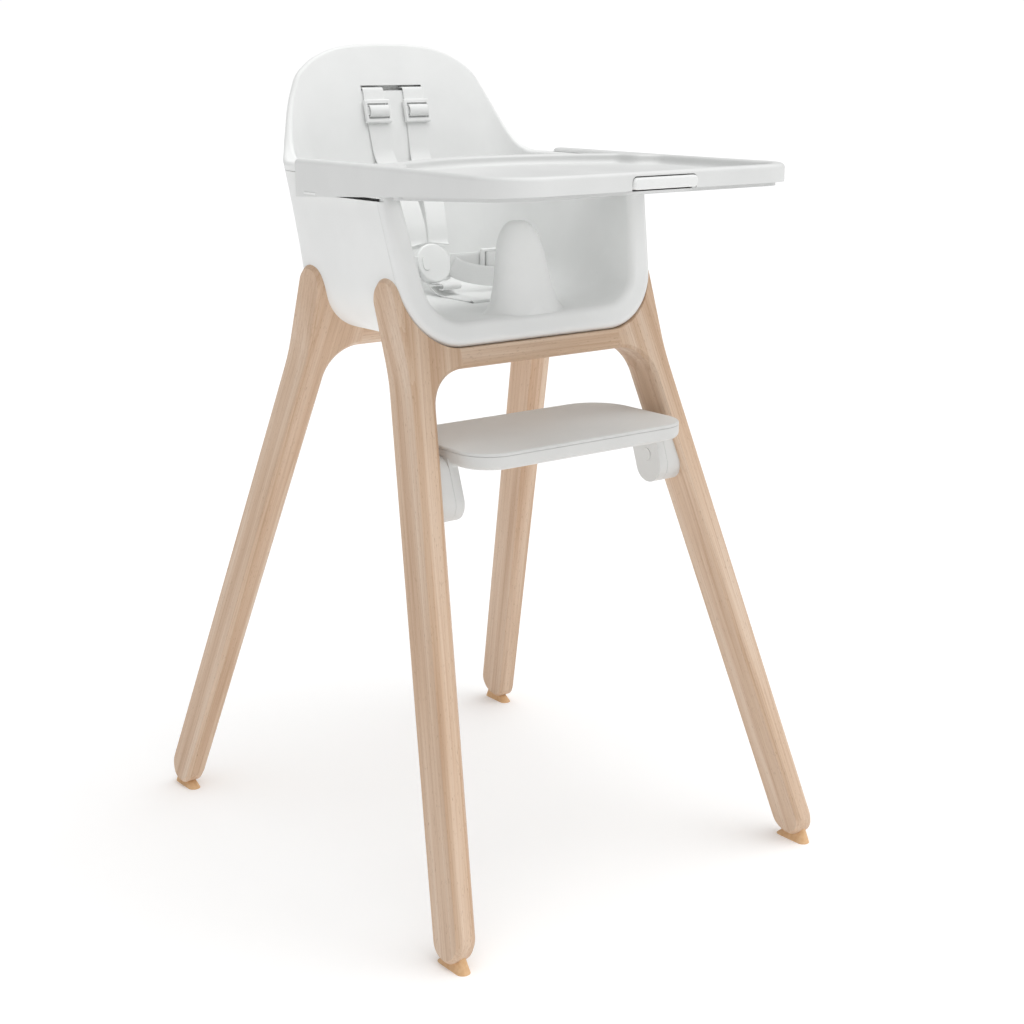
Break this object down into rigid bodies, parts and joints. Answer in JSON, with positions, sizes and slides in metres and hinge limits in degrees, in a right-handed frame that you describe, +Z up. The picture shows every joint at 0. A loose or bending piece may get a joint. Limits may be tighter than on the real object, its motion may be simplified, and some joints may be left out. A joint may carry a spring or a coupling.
{
  "type": "baby high chair",
  "caption": "wooden-legged high chair with a moulded bucket seat, a tray that slides off forwards, a fold-over footrest and a five-strap harness with a round buckle",
  "frame": {"origin": "on the floor under the middle of the chair, the centre of the underside of its bounding box", "axes": "+Z up, -Y the way the child faces (front), +X to the right seen from the front"},
  "size_m": [0.5594, 0.674, 0.978],
  "materials": {
    "wood_leg": "clear matt lacquer on pale straight-grained timber",
    "white_shell": "fine matt moulded surface",
    "white_tray": "satin moulded surface",
    "white_step": "matt moulded surface",
    "white_fitting": "smooth moulded surface",
    "tan_pad": "smooth tan moulding",
    "webbing": "white woven webbing",
    "steel": "zinc-plated steel",
    "dowel": "plain timber"
  },
  "bodies": {
    "chair": {"bracket_screws": "steel", "buckle_body": "white_fitting", "buckle_cover": "white_fitting", "crossbar_front": "wood_leg", "crossbar_rear": "wood_leg", "crotch_strap": "webbing", "foot_pad_front_left": "tan_pad", "foot_pad_front_right": "tan_pad", "foot_pad_rear_left": "tan_pad", "foot_pad_rear_right": "tan_pad", "footrest_bracket_left": "white_step", "footrest_bracket_right": "white_step", "footrest_pivot_left": "steel", "footrest_pivot_right": "steel", "leg_dowels": "dowel", "leg_front_left": "wood_leg", "leg_front_right": "wood_leg", "leg_rear_left": "wood_leg", "leg_rear_right": "wood_leg", "pad_screws": "steel", "seat_bolts": "steel", "seat_inner_shell": "white_shell", "seat_inserts": "steel", "seat_outer_shell": "white_shell", "seat_washers": "steel", "shoulder_adjuster_left": "white_fitting", "shoulder_adjuster_right": "white_fitting", "shoulder_strap_left": "webbing", "shoulder_strap_right": "webbing", "strap_keeper": "white_fitting", "waist_adjuster_left": "white_fitting", "waist_adjuster_right": "white_fitting", "waist_strap_left": "webbing", "waist_strap_right": "webbing"},
    "tray": {"tray_top": "white_tray", "tray_underside": "white_tray", "tray_screws": "steel"},
    "tray_lever": {"release_lever": "white_fitting"},
    "latch_left": {"tray_latch_left": "white_fitting"},
    "latch_right": {"tray_latch_right": "white_fitting"},
    "footrest": {"footrest_shell": "white_step", "footrest_top": "white_step"},
    "step_button_left": {"footrest_button_left": "white_step"},
    "step_button_right": {"footrest_button_right": "white_step"},
    "buckle_key": {"buckle_button": "white_fitting"}
  },
  "joints": [
    {"name": "tray_slide", "type": "slide", "parent": "chair", "child": "tray", "axis": [0, -1, 0], "range_m": [0, 0.17]},
    {"name": "lever_pull", "type": "slide", "parent": "tray", "child": "tray_lever", "axis": [0, -1, 0], "range_m": [0, 0.008], "stiffness_N_per_m": 600, "springref_m": -0.002},
    {"name": "latch_right_draw", "type": "slide", "parent": "tray", "child": "latch_right", "axis": [1, 0, 0], "range_m": [0, 0.005]},
    {"name": "latch_left_draw", "type": "slide", "parent": "tray", "child": "latch_left", "axis": [-1, 0, 0], "range_m": [0, 0.005]},
    {"name": "footrest_flip", "type": "hinge", "parent": "chair", "child": "footrest", "pos_m": [0, -0.149, 0.488], "axis": [1, 0, 0], "range_deg": [0, 180]},
    {"name": "step_button_right_press", "type": "slide", "parent": "footrest", "child": "step_button_right", "axis": [1, 0, 0], "range_m": [0, 0.0024], "stiffness_N_per_m": 800, "springref_m": -0.001},
    {"name": "step_button_left_press", "type": "slide", "parent": "footrest", "child": "step_button_left", "axis": [-1, 0, 0], "range_m": [0, 0.0024], "stiffness_N_per_m": 800, "springref_m": -0.001},
    {"name": "buckle_press", "type": "slide", "parent": "chair", "child": "buckle_key", "axis": [0, 0.9397, -0.342], "range_m": [0, 0.002], "stiffness_N_per_m": 800, "springref_m": -0.001}
  ],
  "couplings": [
    {"joint": "latch_right_draw", "follows": "lever_pull", "ratio": 0.625},
    {"joint": "latch_left_draw", "follows": "lever_pull", "ratio": 0.625}
  ]
}
